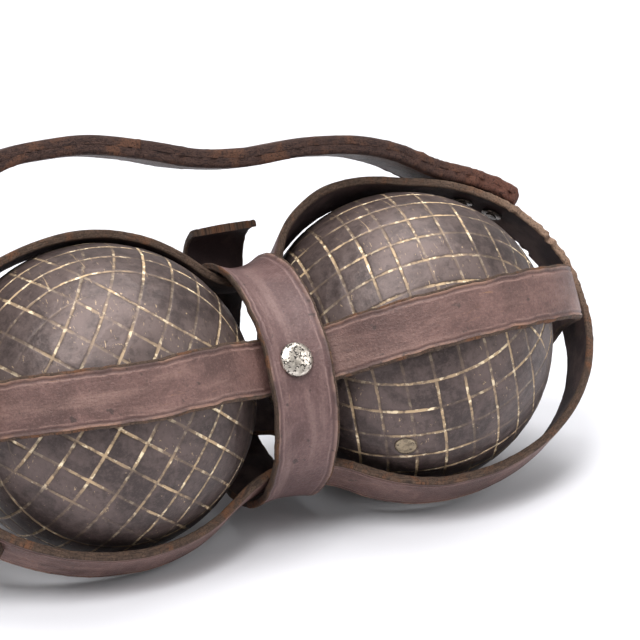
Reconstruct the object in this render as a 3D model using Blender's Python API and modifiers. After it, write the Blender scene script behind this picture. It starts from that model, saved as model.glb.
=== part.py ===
"""A leather cage carrier holding two hollow bronze boules, lying on its side.

Metres, +Z up. The boules' centres lie along X, the floor is Z = 0, and the front faces -Y.
Around the axis through the boules' centres, an angle runs from the front (-Y, 0 degrees)
over the top (+Z, 90 degrees) to the back (+Y, 180 degrees). Everything is modelled round
that axis, midway between the boules, and hangs on one empty that centres the whole over
the origin.
"""

import math

import bmesh
import bpy
import numpy as np
from mathutils import Matrix, Vector

# The boules' axis lies a little off the origin, which is under the middle of the whole carrier.
ORIGIN_SHIFT = (0.0023, 0.0018, 0)

# Boules
BALL_RADIUS = 0.050
BALL_WALL = 0.004
BALL_SPACING = 0.1082
BALL_SEGMENTS, BALL_RINGS = 36, 19
HOLLOW_SEGMENTS, HOLLOW_RINGS = 20, 11
PLUG_RADIUS = 0.0036
PLUG_LENGTH = 0.0040
PLUG_DEPTH = 0.0002
LEFT_PLUG_DIRECTION = (-0.30, 0.72, 0.62)
RIGHT_PLUG_DIRECTION = (-0.42, -0.83, -0.38)

# Leather
STRAP_WIDTH = 0.0182
STRAP_THICK = 0.0027
GAP = 0.0003
STEP = 0.006
TIP_ROUNDING = 0.0085
TIP_NARROWEST = 0.3  # share of the full width
TIP_STATIONS = np.array([0.06, 0.2, 0.45])  # shares of the rounding

# Cage straps: how far each stands from its boule's centre over the sides and at the two ends
FRONT_RADIUS, BACK_RADIUS = 0.0527, 0.0540
TOP_RADIUS, BOTTOM_RADIUS = 0.0519, 0.0540
HORIZONTAL_ENDS = (0.0580, 0.0600)
VERTICAL_ENDS = (0.0630, 0.0650)
HORIZONTAL_SHIFTS = (-0.004, -0.003)
FRONT_ANGLES = (23, 31, 29)
BACK_ANGLES = (232, 218, 232)
TOP_ANGLES = (115, 115, 115)
BOTTOM_ANGLES = (312, 312, 315)

# Laps of the cage straps: length and ramp in millimetres, then where the outer ends lie
LAP = 19
LAP_RAMP = 8
LAP_TIP_X = -0.094
HORIZONTAL_LAP_PLACE = (0.034, 22)
VERTICAL_LAP_PLACE = (0.038, 312)

# Waist band: its ring hangs a little below and in front of the boules' axis.
BAND_CENTRE_Y = -0.002
BAND_CENTRE_Z = -0.004
BAND_LEFT, BAND_RIGHT = -0.0115, 0.0100
BAND_INNER = 0.0356
BAND_THICK = 0.0024
BAND_FLARE, BAND_FLARE_TOP, BAND_FLARE_ANGLE = 0.0026, 0.0010, 115
BAND_INNER_END, BAND_OUTER_END = 228, -205
BAND_LAP_RISE = (-108, -130)
STRAP_WAIST = 0.0320
BAND_STATIONS = 72
BAND_FRONT_ANGLE, BAND_BACK_ANGLE = FRONT_ANGLES[1], BACK_ANGLES[1]
BAND_RIVET_X = -0.0014

# Tail of the band, which stands away from the ring
TAIL_LENGTH = 0.0289
TAIL_STATIONS = 17
TAIL_GAP = 0.0036
TAIL_HEADING = ((0.0, 110), (0.0034, 84), (0.0129, 90), (0.0289, 158))
TAIL_SIDE_DRIFT = 0.0015

# Handle: (x, distance from the boules' axis, angle around it)
HANDLE_WIDTH = 0.0185
HANDLE_PLY = 0.0027
PLY_GAP = 0.0006
HANDLE_ROUTE = (
    (0.060, 0.0625, 111),
    (0.045, 0.0672, 108),
    (0.026, 0.0694, 107),
    (0.005, 0.0683, 107),
    (-0.014, 0.0708, 107),
    (-0.029, 0.0760, 107),
    (-0.048, 0.0806, 107),
    (-0.072, 0.0803, 108),
    (-0.094, 0.0715, 110),
    (-0.111, 0.0550, 113),
)
HANDLE_RIGHT_TIP, HANDLE_RIGHT_LEAVES = 0.1030, 0.0740
HANDLE_LEFT_LANDS, HANDLE_LEFT_TIP = 0.0270, -0.0090
SWING_LEFT, SWING_RIGHT = -0.1060, 0.0460
SWING_GAP = 0.0006
SWING_X, SWING_DISTANCE, SWING_ANGLE = -0.030, 0.052, 108
HANDLE_RIGHT_RIVETS, HANDLE_LEFT_RIVET = (8, 21), 30

# Rivets
SHANK_RADIUS = 0.0016
HEAD_RADIUS = 0.0054
HEAD_HEIGHT = 0.0018
SMALL_HEAD_RADIUS = 0.0036
SMALL_HEAD_HEIGHT = 0.0010
BURR_HEIGHT = 0.0008
BIG_SEAT, SMALL_SEAT = 0.0010, 0.0004
RIM_HEIGHT = 0.0002
DOME_STEPS = (90, 65, 40, 18, 0)  # degrees up from the rim
SHANK_END = 0.0004
CUTTER_LENGTH = 0.030
END_RIVET_SHIFT = (0, 0.0005, 0.0020)
ROUND_STEPS = 12


def clear_scene():
    for obj in list(bpy.data.objects):
        bpy.data.objects.remove(obj, do_unlink=True)


def new_collection(name):
    group = bpy.data.collections.new(name)
    bpy.context.scene.collection.children.link(group)
    return group


def axis_height():
    """Height of the boules' axis: each stands on the middle of a facet of its sphere."""
    facet = math.cos(math.pi / BALL_SEGMENTS) * math.cos(math.pi / BALL_RINGS / 2)
    return BALL_RADIUS * facet


AXIS = np.array([0, 0, axis_height()])
clear_scene()
PARTS = new_collection("boule_carrier")
CUTTERS = new_collection("cutters")


def material(name, colour, roughness, metallic=0.0):
    made = bpy.data.materials.new(name)
    made.use_nodes = True
    shader = made.node_tree.nodes["Principled BSDF"]
    shader.inputs["Base Color"].default_value = (*colour, 1.0)
    shader.inputs["Roughness"].default_value = roughness
    shader.inputs["Metallic"].default_value = metallic
    return made


CARRIER = bpy.data.objects.new("carrier_origin", None)
CARRIER.location = ORIGIN_SHIFT
PARTS.objects.link(CARRIER)


BRONZE = material("patinated_bronze", (0.13, 0.11, 0.095), 0.55, 1.0)
LEATHER = material("brown_leather", (0.17, 0.105, 0.085), 0.62)
DARK_LEATHER = material("worn_dark_leather", (0.08, 0.045, 0.035), 0.7)
NICKEL = material("worn_nickel", (0.62, 0.58, 0.52), 0.35, 1.0)


def add_object(name, mesh, look, group=None):
    obj = bpy.data.objects.new(name, mesh)
    (group or PARTS).objects.link(obj)
    if look:
        mesh.materials.append(look)
        mesh.shade_smooth()
        mesh.set_sharp_from_angle(angle=math.radians(35))
    return obj


def cut(target, cutter):
    """Takes the cutter out of the target, and hides the cutter."""
    cutter.hide_render = True
    cutter.display_type = "WIRE"
    step = target.modifiers.new("cut_" + cutter.name, "BOOLEAN")
    step.operation = "DIFFERENCE"
    step.object = cutter


# --- Routes -----------------------------------------------------------------------------------


def outward(angle):
    """Unit vectors away from the X axis at angles in degrees."""
    turn = np.radians(np.asarray(angle, float))
    return np.stack([0 * turn, -np.cos(turn), np.sin(turn)], -1)


def resample(points, step, closed):
    """Rows spaced evenly along the first three columns."""
    rows = np.vstack([points, points[:1]]) if closed else points
    length = np.r_[0, np.cumsum(np.linalg.norm(np.diff(rows[:, :3], axis=0), axis=1))]
    count = int(round(length[-1] / step))
    at = np.linspace(0, length[-1], count + 1)
    at = at[:-1] if closed else at
    return np.stack([np.interp(at, length, rows[:, k]) for k in range(rows.shape[1])], -1)


def smooth(rows, spread, closed):
    """A Gaussian average over neighbouring rows."""
    reach = int(3 * spread) + 1
    near = np.arange(-reach, reach + 1)
    weight = np.exp(-0.5 * (near / spread) ** 2)
    weight /= weight.sum()
    index = np.arange(len(rows))[:, None] + near
    index = index % len(rows) if closed else np.clip(index, 0, len(rows) - 1)
    return (rows[index] * weight[None, :, None]).sum(1)


def unit(rows):
    return rows / np.linalg.norm(rows, axis=1)[:, None]


def side_profile(ends, radius, waist):
    """(x, rho) of a strap along one side: round each boule, with a hollow fillet at the waist.

    ends are the two poles' distances from their boule's centre, radius is the strap's distance
    from a boule's centre over its side, and waist is its least distance from the axis.
    """
    half = BALL_SPACING / 2
    fillet = (radius**2 - half**2 - waist**2) / (2 * (waist - radius))
    share = fillet / (radius + fillet)
    touch = (half * share, (waist + fillet) * (1 - share))
    top = math.atan2(touch[1], half - touch[0])
    low = math.atan2(touch[1] - waist - fillet, -touch[0])
    outer = np.linspace(math.pi, math.pi / 2, 40)
    inner = np.linspace(math.pi / 2, top, 25)[1:]
    dip = np.linspace(low, -math.pi - low, 25)[1:-1]
    quarter = np.stack([np.cos(outer), np.sin(outer)], -1)
    left_outer = quarter * (ends[0], radius) + (-half, 0)
    right_outer = (quarter * (-ends[1], radius) + (half, 0))[::-1]
    left_inner = np.stack([-half + radius * np.cos(inner), radius * np.sin(inner)], -1)
    right_inner = left_inner[::-1] * (-1, 1)
    middle = np.stack([fillet * np.cos(dip), waist + fillet + fillet * np.sin(dip)], -1)
    return np.vstack([left_outer, left_inner, middle, right_inner, right_outer])


def strap_side(ends, radius, angles, poles, direction):
    """Points and width directions of one side of a loop, from the left pole to the right one.

    angles are those at the left boule, the waist and the right boule. poles are the strap's
    sideways shifts at the two poles. direction is +1 for a side run towards +X, else -1.
    """
    hang = np.array([0, BAND_CENTRE_Y, BAND_CENTRE_Z])
    at_waist = outward(angles[1])
    across = np.cross([direction, 0, 0], at_waist)
    profile = side_profile(ends, radius, STRAP_WAIST + hang @ at_waist)
    half = BALL_SPACING / 2
    stations = (-half - ends[0], -half, 0, half, half + ends[1])
    angle = np.interp(profile[:, 0], stations, [angles[k] for k in (0, 0, 1, 2, 2)])
    shift = np.interp(profile[:, 0], stations, [poles[0], 0, hang @ across, 0, poles[1]])
    away = outward(angle)
    across = np.cross([direction, 0, 0], away)
    points = AXIS + profile[:, 1:] * away + shift[:, None] * across
    points[:, 0] = profile[:, 0]
    return np.hstack([points, across])


class Route:
    """A strap's middle line, with its width direction and its outward normal at every millimetre."""

    def __init__(self, points, across, closed):
        ahead = np.roll(points, -1, 0) - np.roll(points, 1, 0)
        if not closed:
            ahead[0], ahead[-1] = points[1] - points[0], points[-1] - points[-2]
        self.points = points
        self.ahead = unit(ahead)
        across = across - (across * self.ahead).sum(1)[:, None] * self.ahead
        self.across = unit(across)
        self.normal = np.cross(self.across, self.ahead)

    def nearest(self, place):
        return int(np.argmin(np.linalg.norm(self.points - np.asarray(place), axis=1)))

    def part(self, first, last):
        """Indices from first to last, going round a closed route where last is beyond its end."""
        count = max(2, int(round((last - first) * 0.001 / STEP)))
        return np.linspace(first, last, count + 1)

    def rows(self, index):
        """Points, width directions and normals at fractional indices, wrapping round."""
        low = np.floor(index).astype(int)
        part = (index - low)[:, None]
        near, far = low % len(self.points), (low + 1) % len(self.points)
        mixed = [
            table[near] * (1 - part) + table[far] * part
            for table in (self.points, self.across, self.normal)
        ]
        return mixed[0], unit(mixed[1]), unit(mixed[2])


def loop_route(one_side, other_side):
    rows = resample(np.vstack([one_side, other_side[::-1][1:-1]]), 0.001, True)
    return Route(smooth(rows[:, :3], 3, True), smooth(rows[:, 3:], 8, True), True)


# --- Leather strips ---------------------------------------------------------------------------


def loft(name, sections, look):
    """A closed body through rings of points, capped at both ends."""
    work = bmesh.new()
    rings = [[work.verts.new(Vector(point)) for point in ring] for ring in sections]
    size = len(rings[0])
    for near, far in zip(rings, rings[1:]):
        for k in range(size):
            work.faces.new((near[k], near[(k + 1) % size], far[(k + 1) % size], far[k]))
    work.faces.new(list(reversed(rings[0])))
    work.faces.new(rings[-1])
    bmesh.ops.recalc_face_normals(work, faces=work.faces)
    mesh = bpy.data.meshes.new(name)
    work.to_mesh(mesh)
    work.free()
    return add_object(name, mesh, look)


def strip(name, points, across, normal, width, thick, look):
    """A flat strap with a rectangular section; width may change from point to point."""
    half = np.broadcast_to(np.asarray(width) / 2, len(points))[:, None]
    corners = ((1, 1), (1, -1), (-1, -1), (-1, 1))
    sides = [points + w * half * across + t * thick / 2 * normal for w, t in corners]
    return loft(name, np.stack(sides, 1), look)


def tip_widths(index, tip, width):
    """Strap widths that round off the end at the tip."""
    inside = np.clip(1 - np.abs(index - tip) * 0.001 / TIP_ROUNDING, 0, 1)
    return width * np.sqrt(np.clip(1 - inside**2, TIP_NARROWEST**2, 1))


def with_tip_steps(index, tip, side):
    """Adds stations close to a rounded tip; side is +1 where the strap runs to higher indices."""
    extra = tip + side * 1000 * TIP_ROUNDING * TIP_STATIONS
    return np.unique(np.round(np.r_[index, extra], 3))


def lapped_loop(name, route, tip, lap):
    """A strap that goes once round its route and laps over its own other end.

    tip is the index of the outer, rounded end. The strap runs from it to higher indices
    where lap, in millimetres, is positive, and to lower ones where it is negative.
    """
    total = len(route.points)
    side = 1 if lap > 0 else -1
    start, end = (tip, tip + total + lap) if lap > 0 else (tip + lap, tip + total)
    outer = start if lap > 0 else end
    index = with_tip_steps(route.part(start, end), outer, side)
    rise = np.clip((abs(lap) + LAP_RAMP - np.abs(index - outer)) / LAP_RAMP, 0, 1)
    points, across, normal = route.rows(index)
    lift = (STRAP_THICK + GAP) * rise**2 * (3 - 2 * rise)
    points = points + lift[:, None] * normal
    widths = tip_widths(index, outer, STRAP_WIDTH)
    return strip(name, points, across, normal, widths, STRAP_THICK, LEATHER)


HORIZONTAL = loop_route(
    strap_side(HORIZONTAL_ENDS, FRONT_RADIUS, FRONT_ANGLES, HORIZONTAL_SHIFTS, 1),
    strap_side(HORIZONTAL_ENDS, BACK_RADIUS, BACK_ANGLES, HORIZONTAL_SHIFTS, -1),
)
VERTICAL = loop_route(
    strap_side(VERTICAL_ENDS, TOP_RADIUS, TOP_ANGLES, (0, 0), 1),
    strap_side(VERTICAL_ENDS, BOTTOM_RADIUS, BOTTOM_ANGLES, (0, 0), -1),
)


def route_index(route, x, distance, angle):
    """The route's index nearest a place given by x, distance from the boules' axis and angle."""
    return route.nearest(AXIS + (x, 0, 0) + distance * outward(angle))


HORIZONTAL_TIP = route_index(HORIZONTAL, LAP_TIP_X, *HORIZONTAL_LAP_PLACE)
VERTICAL_TIP = route_index(VERTICAL, LAP_TIP_X, *VERTICAL_LAP_PLACE)
horizontal_strap = lapped_loop("cage_strap_horizontal", HORIZONTAL, HORIZONTAL_TIP, -LAP)
vertical_strap = lapped_loop("cage_strap_vertical", VERTICAL, VERTICAL_TIP, LAP)


# --- Waist band and its tail ------------------------------------------------------------------

BAND_CENTRE = AXIS + (0, BAND_CENTRE_Y, BAND_CENTRE_Z)
BAND_MIDDLE = (BAND_LEFT + BAND_RIGHT) / 2
BAND_HALF = (BAND_RIGHT - BAND_LEFT) / 2
ACROSS_BAND = np.linspace(-1, 1, 5)
TAIL_ROOT = BAND_CENTRE + (BAND_INNER + 1.5 * BAND_THICK + GAP) * outward(BAND_OUTER_END)


def band_flare(angle):
    """How far the band's edges stand further out than its middle; most over the top."""
    return BAND_FLARE + BAND_FLARE_TOP * math.cos(math.radians(angle - BAND_FLARE_ANGLE))


def band_sections():
    """Rings of points of the band, whose outer end laps over its inner one."""
    sections = []
    for angle in np.linspace(BAND_INNER_END, BAND_OUTER_END, BAND_STATIONS):
        rise = np.clip((angle - BAND_LAP_RISE[0]) / (BAND_LAP_RISE[1] - BAND_LAP_RISE[0]), 0, 1)
        inner = BAND_INNER + (BAND_THICK + GAP) * rise**2 * (3 - 2 * rise)
        away = outward(angle)
        rows = []
        for u in ACROSS_BAND:
            radius = inner + band_flare(angle) * u**2
            foot = BAND_CENTRE + (BAND_MIDDLE + u * BAND_HALF, 0, 0) + radius * away
            rows.append((foot, foot + BAND_THICK * away))
        sections.append([row[1] for row in rows] + [row[0] for row in reversed(rows)])
    return sections


def tail_path():
    """Points and headings of the tail's middle line, which starts a gap away from the ring's end."""
    at = np.linspace(0, TAIL_LENGTH, TAIL_STATIONS)
    heading = np.interp(at, *zip(*TAIL_HEADING))
    heading = np.convolve(np.pad(heading, 1, "edge"), (0.25, 0.5, 0.25), "valid")
    turn = np.radians(heading)
    ahead = np.stack([0 * turn, np.cos(turn), np.sin(turn)], -1)
    points = TAIL_ROOT + TAIL_GAP * ahead[0] + np.cumsum(ahead, 0) * at[1] - ahead[0] * at[1]
    return points, turn, at / TAIL_LENGTH


def tail_sections():
    points, turn, share = tail_path()
    sections = []
    for point, angle, along in zip(points, turn, share):
        away = np.array([0, math.sin(angle), -math.cos(angle)])
        flare = band_flare(BAND_OUTER_END) * (1 - along)
        outer, inner = [], []
        for u in ACROSS_BAND:
            side = (BAND_MIDDLE + u * BAND_HALF + TAIL_SIDE_DRIFT * along, 0, 0)
            foot = point + side + flare * u**2 * away
            outer.append(foot + BAND_THICK / 2 * away)
            inner.append(foot - BAND_THICK / 2 * away)
        sections.append(outer + inner[::-1])
    return sections


waist_band = loft("waist_band", band_sections(), LEATHER)
band_tail = loft("band_tail", tail_sections(), DARK_LEATHER)


# --- Handle -----------------------------------------------------------------------------------

HANDLE_OFFSET = STRAP_THICK / 2 + 3 * GAP + HANDLE_PLY


def on_vertical(first, last):
    """Points and width directions outside the vertical strap, run from first down to last."""
    points, across, normal = VERTICAL.rows(np.arange(first, last - 1, -1.0))
    return np.hstack([points + HANDLE_OFFSET * normal, -across])


def handle_route():
    """The middle line between the handle's two plies, from its right tip to its left one."""
    free = np.array([AXIS + (x, 0, 0) + far * outward(angle) for x, far, angle in HANDLE_ROUTE])
    across = np.cross([-1, 0, 0], outward([point[2] for point in HANDLE_ROUTE]))
    right_tip = route_index(VERTICAL, HANDLE_RIGHT_TIP, 0.034, 115)
    right_leaves = route_index(VERTICAL, HANDLE_RIGHT_LEAVES, 0.049, 115)
    pole_x = -BALL_SPACING / 2 - VERTICAL_ENDS[0]
    left_lands = route_index(VERTICAL, pole_x, HANDLE_LEFT_LANDS, 115)
    left_tip = route_index(VERTICAL, pole_x, HANDLE_LEFT_TIP, 132)
    left_tip -= len(VERTICAL.points) if left_tip > left_lands else 0
    rows = np.vstack(
        [
            on_vertical(right_tip, right_leaves),
            np.hstack([free, across]),
            on_vertical(left_lands, left_tip),
        ]
    )
    rows = smooth(resample(rows, 0.001, False), 5, False)
    return Route(rows[:, :3], rows[:, 3:], False)


HANDLE = handle_route()


def crossing(x):
    """Index where the handle's middle line crosses a plane of constant x, to a fraction."""
    along = HANDLE.points[:, 0]
    first = int(np.argmax(along < x))
    return first - (x - along[first]) / (along[first - 1] - along[first])


def ply(name, first, last, side, look, tip=None):
    """A length of one ply; ends that meet the swinging part are cut square to the X axis."""
    index = HANDLE.part(first, last)
    width = HANDLE_WIDTH
    if tip is not None:
        index = with_tip_steps(index, tip, 1 if tip == first else -1)
        width = tip_widths(index, tip, HANDLE_WIDTH)
    points, across, normal = HANDLE.rows(np.clip(index, 0, len(HANDLE.points) - 1.001))
    middle = points + side * (HANDLE_PLY + PLY_GAP) / 2 * normal
    half = np.broadcast_to(np.asarray(width) / 2, len(points))[:, None]
    corners = ((1, 1), (1, -1), (-1, -1), (-1, 1))
    sections = np.stack(
        [middle + w * half * across + t * HANDLE_PLY / 2 * normal for w, t in corners], 1
    )
    for row, end in ((0, first), (-1, last)):
        if end != tip:
            ahead = HANDLE.ahead[int(round(end))]
            shift = (points[row][0] - sections[row][:, 0]) / ahead[0]
            sections[row] += shift[:, None] * ahead
    return loft(name, sections, look)


RIGHT_CUT, LEFT_CUT = crossing(SWING_RIGHT), crossing(SWING_LEFT)
LAST = len(HANDLE.points) - 1
CUT_GAP = 1000 * SWING_GAP
for ply_name, side in (("handle_outer_ply", 1), ("handle_inner_ply", -1)):
    ply(ply_name + "_right_end", 0, RIGHT_CUT - CUT_GAP, side, LEATHER, 0)
    ply(ply_name, RIGHT_CUT, LEFT_CUT, side, LEATHER)
    ply(ply_name + "_left_end", LEFT_CUT + CUT_GAP, LAST, side, LEATHER, LAST)


# --- Boules -----------------------------------------------------------------------------------


def sphere(work, segments, rings, radius):
    """Adds a sphere to work and returns its faces."""
    made = bmesh.ops.create_uvsphere(work, u_segments=segments, v_segments=rings, radius=radius)
    return list({face for vert in made["verts"] for face in vert.link_faces})


def boule(name, x, plug_direction):
    """A hollow ball round its own origin, with a hole for its plug."""
    work = bmesh.new()
    sphere(work, BALL_SEGMENTS, BALL_RINGS, BALL_RADIUS)
    hollow = sphere(work, HOLLOW_SEGMENTS, HOLLOW_RINGS, BALL_RADIUS - BALL_WALL)
    bmesh.ops.reverse_faces(work, faces=hollow)
    turn = Matrix.Rotation(math.pi / 2, 4, "Y") @ Matrix.Rotation(math.pi / BALL_SEGMENTS, 4, "Z")
    bmesh.ops.transform(work, matrix=turn, verts=work.verts)
    mesh = bpy.data.meshes.new(name)
    work.to_mesh(mesh)
    work.free()
    ball = add_object(name, mesh, BRONZE)
    ball.location = AXIS + (x, 0, 0)
    direction = np.array(plug_direction) / np.linalg.norm(plug_direction)
    middle = ball.location + Vector(direction) * (BALL_RADIUS - BALL_WALL / 2 - PLUG_DEPTH)
    drill = rod_profile(PLUG_RADIUS + GAP, 3 * BALL_WALL)
    cut(ball, turned(name + "_plug_hole", drill, middle, direction, None))
    turned(name + "_plug", rod_profile(PLUG_RADIUS, PLUG_LENGTH), middle, direction, BRONZE)


# --- Turned pieces ----------------------------------------------------------------------------


def turned(name, profile, place, axis, look):
    """A profile of (radius, height) points, outer side run top to bottom, spun round an axis."""
    mesh = bpy.data.meshes.new(name)
    closed_ring = profile[0][0] > 0
    edges = [(k, k + 1) for k in range(len(profile) - 1)]
    if closed_ring:
        edges.append((len(profile) - 1, 0))
    mesh.from_pydata([(radius, 0, height) for radius, height in profile], edges, [])
    obj = add_object(name, mesh, look, PARTS if look else CUTTERS)
    spin = obj.modifiers.new("turn", "SCREW")
    spin.steps = spin.render_steps = ROUND_STEPS
    spin.use_merge_vertices = True
    spin.merge_threshold = 0.00005
    obj.location = Vector(place)
    obj.rotation_mode = "QUATERNION"
    obj.rotation_quaternion = Vector(axis).to_track_quat("Z", "Y")
    return obj


def rod_profile(radius, length):
    return [(0, length / 2), (radius, length / 2), (radius, -length / 2), (0, -length / 2)]


def rivet(name, place, axis, grip, head, straps):
    """A headed rivet through the straps, and the burr it is closed over inside them.

    place is on the outer surface, axis points out of it, and grip is the straps' thickness.
    head is the head's radius, height and the space under its rim.
    """
    radius, height, seat = head
    tail = -(grip + 2 * GAP + BURR_HEIGHT + SHANK_END)
    dome = [
        (radius * math.cos(a), seat + RIM_HEIGHT + height * math.sin(a))
        for a in np.radians(DOME_STEPS)
    ]
    dome[0] = (0, dome[0][1])
    body = [(radius, seat), (SHANK_RADIUS, seat), (SHANK_RADIUS, tail), (0, tail)]
    turned(name + "_rivet", dome + body, place, axis, NICKEL)
    inner, outer = SHANK_RADIUS + GAP, SMALL_HEAD_RADIUS
    top = -(grip + 2 * GAP)
    low = top - BURR_HEIGHT
    ring = [(outer, top), (outer, low), (inner, low), (inner, top)]
    turned(name + "_burr", ring, place, axis, NICKEL)
    drill = rod_profile(SHANK_RADIUS + GAP, CUTTER_LENGTH)
    hole = turned(name + "_hole", drill, place, axis, None)
    for strap in straps:
        cut(strap, hole)


BIG_HEAD = (HEAD_RADIUS, HEAD_HEIGHT, BIG_SEAT)
SMALL_HEAD = (SMALL_HEAD_RADIUS, SMALL_HEAD_HEIGHT, SMALL_SEAT)
boule("left_boule", -BALL_SPACING / 2, LEFT_PLUG_DIRECTION)
boule("right_boule", BALL_SPACING / 2, RIGHT_PLUG_DIRECTION)


def band_rivets():
    """One rivet through the band and the strap in front, and one through its lap behind."""
    strap_inside = STRAP_WAIST - STRAP_THICK / 2
    for name, angle, plies in (
        ("band_front", BAND_FRONT_ANGLE, 1),
        ("band_back", BAND_BACK_ANGLE, 2),
    ):
        top = BAND_INNER + plies * BAND_THICK + (plies - 1) * GAP
        place = BAND_CENTRE + (BAND_RIVET_X, 0, 0) + top * outward(angle)
        straps = (waist_band, horizontal_strap)
        rivet(name, place, outward(angle), top - strap_inside, BIG_HEAD, straps)


def lap_rivets():
    """One rivet through each cage strap's lap."""
    for name, route, tip, strap, side in (
        ("horizontal_lap", HORIZONTAL, HORIZONTAL_TIP, horizontal_strap, -1),
        ("vertical_lap", VERTICAL, VERTICAL_TIP, vertical_strap, 1),
    ):
        points, _, normal = route.rows(np.array([tip + side * LAP / 2.0]))
        place = points[0] + (1.5 * STRAP_THICK + GAP) * normal[0]
        rivet(name, place, normal[0], 2 * STRAP_THICK + GAP, SMALL_HEAD, (strap,))


def handle_plies(end):
    """The two plies' fixed ends on one side of the carrier."""
    return [bpy.data.objects[f"handle_{layer}_ply_{end}_end"] for layer in ("outer", "inner")]


def end_rivets():
    """One rivet at each end of the cage, where the two straps cross."""
    half = BALL_SPACING / 2
    straps = (vertical_strap, horizontal_strap)
    over_handle = HANDLE_OFFSET + HANDLE_PLY + PLY_GAP / 2
    for name, side, k, cover, pierced in (
        ("right_end", 1, 1, STRAP_THICK / 2, straps),
        ("left_end", -1, 0, over_handle, (*straps, *handle_plies("left"))),
    ):
        top = half + VERTICAL_ENDS[k] + cover
        inside = half + HORIZONTAL_ENDS[k] - STRAP_THICK / 2
        place = AXIS + (side * top, 0, 0) + END_RIVET_SHIFT
        rivet(name, place, (side, 0, 0), top - inside, SMALL_HEAD, pierced)


def handle_rivets():
    """Two rivets through the handle's right end and the vertical strap, and one at its left end."""
    grip = HANDLE_OFFSET + HANDLE_PLY + PLY_GAP / 2 + STRAP_THICK / 2
    for name, index, end in (
        ("handle_right_outer", HANDLE_RIGHT_RIVETS[0], "right"),
        ("handle_right_inner", HANDLE_RIGHT_RIVETS[1], "right"),
        ("handle_left", LAST - HANDLE_LEFT_RIVET, "left"),
    ):
        points, _, normal = HANDLE.rows(np.array([float(index)]))
        place = points[0] + (HANDLE_PLY + PLY_GAP / 2) * normal[0]
        rivet(name, place, normal[0], grip, SMALL_HEAD, (*handle_plies(end), vertical_strap))


band_rivets()
lap_rivets()
end_rivets()
handle_rivets()


# --- Joint axes -------------------------------------------------------------------------------


def hang_on_axis(name, place, children):
    """Parents moving pieces to an empty on their joint's axis, without moving them."""
    axis = bpy.data.objects.new(name, None)
    axis.empty_display_size = 0.01
    axis.location = Vector(place)
    PARTS.objects.link(axis)
    for child in children:
        child.parent = axis
        child.matrix_parent_inverse = Matrix.Translation(-Vector(place))


SWING_PLACE = AXIS + (SWING_X, 0, 0) + SWING_DISTANCE * outward(SWING_ANGLE)
HANDLE_PLIES = [bpy.data.objects["handle_outer_ply"], bpy.data.objects["handle_inner_ply"]]
hang_on_axis("handle_swing_axis", SWING_PLACE, HANDLE_PLIES)
TAIL_TURN = math.radians(TAIL_HEADING[0][1])
TAIL_HINGE = (
    TAIL_ROOT
    + (BAND_MIDDLE, 0, 0)
    + TAIL_GAP / 2 * np.array([0, math.cos(TAIL_TURN), math.sin(TAIL_TURN)])
    + band_flare(BAND_OUTER_END) / 2 * np.array([0, math.sin(TAIL_TURN), -math.cos(TAIL_TURN)])
)
hang_on_axis("band_tail_axis", TAIL_HINGE, [band_tail])
for side in ("left", "right"):
    ball, plug = (bpy.data.objects[side + name] for name in ("_boule", "_boule_plug"))
    plug.parent = ball
    plug.matrix_parent_inverse = Matrix.Translation(-ball.location)
for obj in [*PARTS.objects, *CUTTERS.objects]:
    if obj.parent is None and obj is not CARRIER:
        obj.parent = CARRIER
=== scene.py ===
"""The looks of a leather carrier with two scored metal boules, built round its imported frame.

Metres, +Z up, the front faces -Y, and the boules lie along X. Round the boules' axis, an angle
runs from the front (0 degrees) over the top (90 degrees) to the back (180 degrees).
"""

import math

import bpy
import numpy as np
from mathutils import Euler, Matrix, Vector


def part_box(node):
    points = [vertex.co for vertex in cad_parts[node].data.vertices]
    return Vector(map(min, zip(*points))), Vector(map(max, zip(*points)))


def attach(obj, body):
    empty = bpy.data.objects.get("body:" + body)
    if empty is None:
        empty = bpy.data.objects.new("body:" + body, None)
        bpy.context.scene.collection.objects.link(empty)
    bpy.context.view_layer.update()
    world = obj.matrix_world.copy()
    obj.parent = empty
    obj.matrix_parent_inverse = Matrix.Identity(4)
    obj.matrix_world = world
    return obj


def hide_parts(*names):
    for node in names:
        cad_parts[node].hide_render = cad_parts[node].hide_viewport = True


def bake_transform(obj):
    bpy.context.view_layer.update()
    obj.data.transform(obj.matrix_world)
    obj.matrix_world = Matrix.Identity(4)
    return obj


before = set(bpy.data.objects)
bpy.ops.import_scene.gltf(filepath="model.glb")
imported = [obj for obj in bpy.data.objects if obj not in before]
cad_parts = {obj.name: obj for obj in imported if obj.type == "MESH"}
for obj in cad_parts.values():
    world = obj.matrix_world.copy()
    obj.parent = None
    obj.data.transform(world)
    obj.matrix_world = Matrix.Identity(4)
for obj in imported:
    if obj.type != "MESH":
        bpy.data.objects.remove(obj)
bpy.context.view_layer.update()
SCENE = bpy.context.scene

# --- Places, read from the frame -----------------------------------------------------------------

LEFT_BOX, RIGHT_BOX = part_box("left_boule"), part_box("right_boule")
LEFT_BALL = np.array((LEFT_BOX[0] + LEFT_BOX[1]) / 2)
RIGHT_BALL = np.array((RIGHT_BOX[0] + RIGHT_BOX[1]) / 2)
AXIS = (LEFT_BALL + RIGHT_BALL) / 2
BALL_SPACING = RIGHT_BALL[0] - LEFT_BALL[0]
HALF_SPACING = BALL_SPACING / 2
BALL_RADIUS = LEFT_BALL[2]  # each ball just touches the floor

# --- Leather, with the CAD's own driving dimensions ----------------------------------------------

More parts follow.
